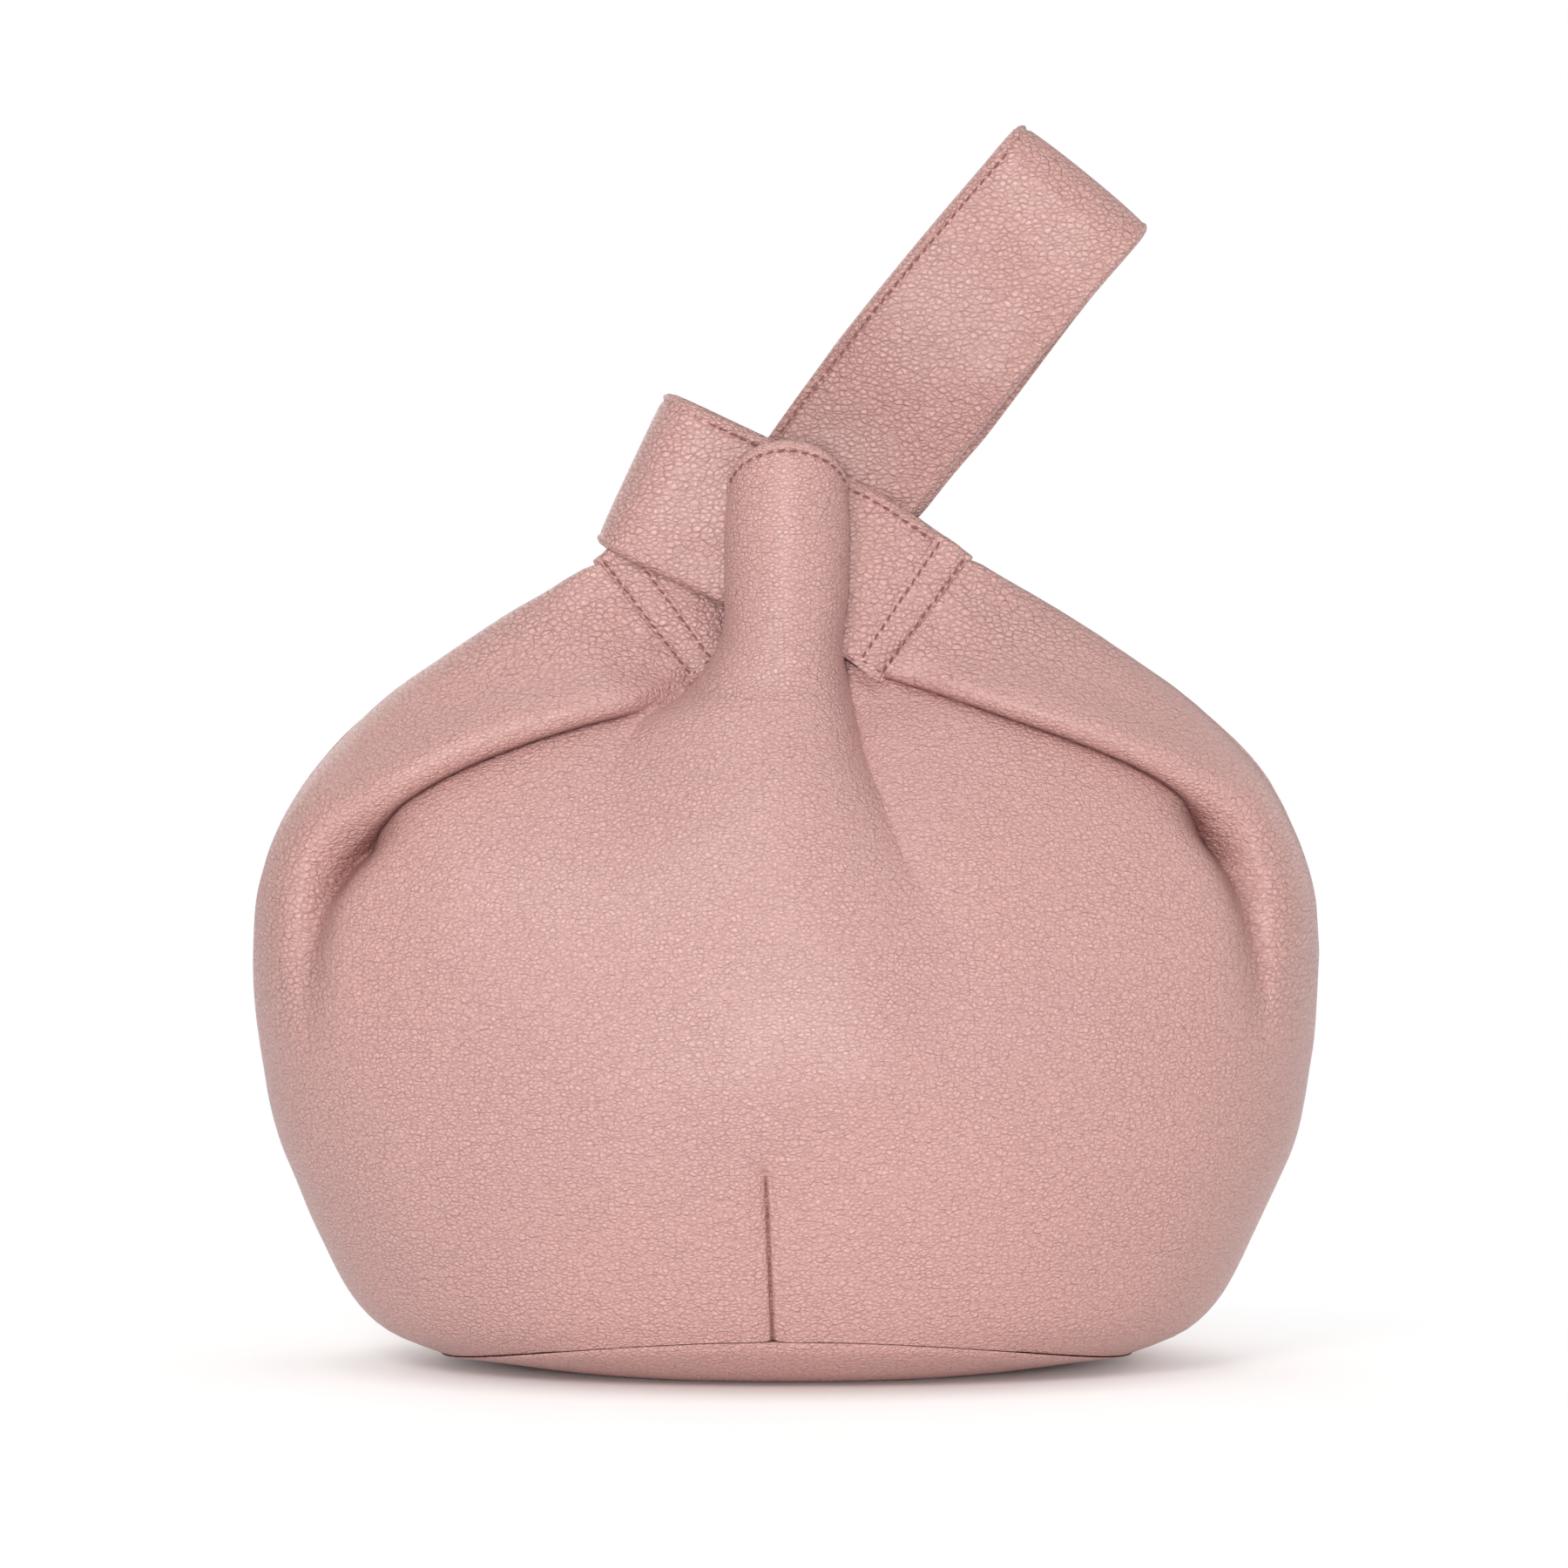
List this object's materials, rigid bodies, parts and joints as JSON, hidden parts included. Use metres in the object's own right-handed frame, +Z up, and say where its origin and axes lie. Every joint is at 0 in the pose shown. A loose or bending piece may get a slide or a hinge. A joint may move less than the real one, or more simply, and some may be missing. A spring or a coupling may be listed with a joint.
{
  "type": "knot bag",
  "caption": "Soft standing leather pouch bag with pleated shoulders, closed by passing its long wrist handle through a short handle loop.",
  "frame": {"origin": "on the floor, under the middle of the bag's overall box", "axes": "+Z up, +X to the right seen from the front, -Y towards the viewer; the side seams lie in the plane Y = 0"},
  "size_m": [0.282, 0.13, 0.3281],
  "materials": {
    "leather": "satin pebbled leather, dusty pink",
    "lining": "plain woven lining, dusty rose",
    "thread": "matt sewing thread, dark rose brown",
    "board": "raw pressed fibre board"
  },
  "bodies": {
    "bag": {"front_panel": "leather", "back_panel": "leather", "front_lining": "lining", "back_lining": "lining", "base_panel": "leather", "base_board": "board", "base_lining": "lining", "short_loop_outer": "leather", "short_loop_inner": "leather", "right_seam_band_front": "leather", "right_seam_band_back": "leather", "right_seam_thread_front": "thread", "right_seam_thread_back": "thread", "short_loop_thread_front": "thread", "short_loop_thread_back": "thread", "handle_root_front": "leather", "handle_root_back": "leather", "left_seam_band_front": "leather", "left_seam_band_back": "leather", "left_seam_thread_front": "thread", "left_seam_thread_back": "thread"},
    "front_tongue": {"front_tongue": "leather", "front_tongue_facing": "leather", "front_tongue_thread": "thread"},
    "back_tongue": {"back_tongue": "leather", "back_tongue_facing": "leather", "back_tongue_thread": "thread"},
    "handle_neck": {"handle_neck_front": "leather", "handle_neck_back": "leather"},
    "long_loop": {"long_loop_outer": "leather", "long_loop_inner": "leather", "long_loop_thread_front": "thread", "long_loop_thread_back": "thread"}
  },
  "joints": [
    {"name": "front_tongue_open", "type": "hinge", "parent": "bag", "child": "front_tongue", "pos_m": [0, -0.03787, 0.17805], "axis": [1, 0, 0], "range_deg": [0, 25]},
    {"name": "back_tongue_open", "type": "hinge", "parent": "bag", "child": "back_tongue", "pos_m": [0, 0.03787, 0.17805], "axis": [-1, 0, 0], "range_deg": [0, 25]},
    {"name": "handle_swing", "type": "hinge", "parent": "bag", "child": "handle_neck", "pos_m": [0.00812, 0, 0.2275], "axis": [0, 1, 0], "range_deg": [-39, 12]},
    {"name": "loop_flop", "type": "hinge", "parent": "handle_neck", "child": "long_loop", "pos_m": [0.02196, 0, 0.24459], "axis": [0.7771, 0, -0.6293], "range_deg": [-60, 60]}
  ]
}
